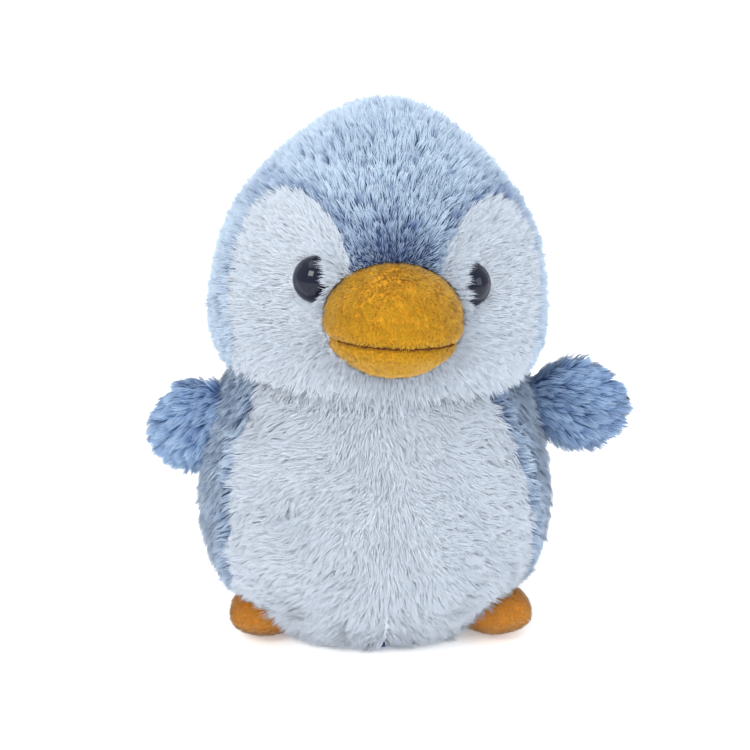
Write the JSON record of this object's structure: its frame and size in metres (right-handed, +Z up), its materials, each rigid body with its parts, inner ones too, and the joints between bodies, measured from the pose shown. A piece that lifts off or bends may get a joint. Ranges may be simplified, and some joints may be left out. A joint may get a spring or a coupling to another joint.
{
  "type": "plush penguin",
  "caption": "Round sitting plush penguin chick: furry body, turning and nodding head, stuffed beak, glossy button eyes, swinging flippers and small feet.",
  "frame": {"origin": "middle of the flat base panel, where the toy rests on a table", "axes": "+Z up through the head; the beak points towards -Y; +X is the toy's own left"},
  "size_m": [0.169, 0.1254, 0.1809],
  "materials": {
    "grey_blue_plush": "matte",
    "white_plush": "matte",
    "yellow_velboa": "matte",
    "polyester_fill": "matte",
    "eye_plastic": "gloss",
    "washer_plastic": "matte",
    "brown_thread": "matte",
    "grey_blue_thread": "matte"
  },
  "bodies": {
    "torso": {"base_panel": "grey_blue_plush", "belly_panel_left": "white_plush", "belly_panel_right": "white_plush", "back_panel_left": "grey_blue_plush", "back_panel_right": "grey_blue_plush", "torso_stuffing": "polyester_fill", "closing_stitches": "grey_blue_thread"},
    "neck": {"neck_stuffing": "polyester_fill"},
    "head": {"crown_panel": "grey_blue_plush", "face_panel_left": "white_plush", "face_panel_right": "white_plush", "head_back_panel_left": "grey_blue_plush", "head_back_panel_right": "grey_blue_plush", "head_stuffing": "polyester_fill", "eye_left": "eye_plastic", "eye_right": "eye_plastic", "eye_washer_left": "washer_plastic", "eye_washer_right": "washer_plastic", "beak_upper_panel": "yellow_velboa", "beak_lower_panel": "yellow_velboa", "beak_stuffing": "polyester_fill", "mouth_seam_thread": "brown_thread"},
    "flipper_left": {"flipper_left_front_panel": "grey_blue_plush", "flipper_left_back_panel": "grey_blue_plush", "flipper_left_stuffing": "polyester_fill", "flipper_left_root_seam": "grey_blue_plush"},
    "flipper_right": {"flipper_right_front_panel": "grey_blue_plush", "flipper_right_back_panel": "grey_blue_plush", "flipper_right_stuffing": "polyester_fill", "flipper_right_root_seam": "grey_blue_plush"},
    "foot_left": {"foot_left_top_panel": "yellow_velboa", "foot_left_sole_panel": "yellow_velboa", "foot_left_stuffing": "polyester_fill", "foot_left_root_seam": "yellow_velboa"},
    "foot_right": {"foot_right_top_panel": "yellow_velboa", "foot_right_sole_panel": "yellow_velboa", "foot_right_stuffing": "polyester_fill", "foot_right_root_seam": "yellow_velboa"}
  },
  "joints": [
    {"name": "head_turn", "type": "hinge", "parent": "torso", "child": "neck", "pos_m": [0, 0, 0.091], "axis": [0, 0, 1], "range_deg": [-20, 20], "stiffness_Nm_per_rad": 0.05},
    {"name": "head_nod", "type": "hinge", "parent": "neck", "child": "head", "pos_m": [0, 0, 0.091], "axis": [1, 0, 0], "range_deg": [-8, 8], "stiffness_Nm_per_rad": 1.2},
    {"name": "flipper_left_swing", "type": "hinge", "parent": "torso", "child": "flipper_left", "pos_m": [0.056, -0.003, 0.0778], "axis": [-0.1032, 0.0164, -0.9945], "range_deg": [-52, 34], "stiffness_Nm_per_rad": 0.01},
    {"name": "flipper_right_swing", "type": "hinge", "parent": "torso", "child": "flipper_right", "pos_m": [-0.0546, -0.002, 0.0775], "axis": [-0.3932, 0.227, 0.891], "range_deg": [-13, 73], "stiffness_Nm_per_rad": 0.01},
    {"name": "foot_left_lift", "type": "hinge", "parent": "torso", "child": "foot_left", "pos_m": [0.0302, -0.025, 0.0089], "axis": [-0.5446, -0.8387, 0], "range_deg": [0, 12], "stiffness_Nm_per_rad": 0.01},
    {"name": "foot_right_lift", "type": "hinge", "parent": "torso", "child": "foot_right", "pos_m": [-0.0304, -0.019, 0.0089], "axis": [-0.5446, 0.8387, 0], "range_deg": [0, 12], "stiffness_Nm_per_rad": 0.01}
  ]
}
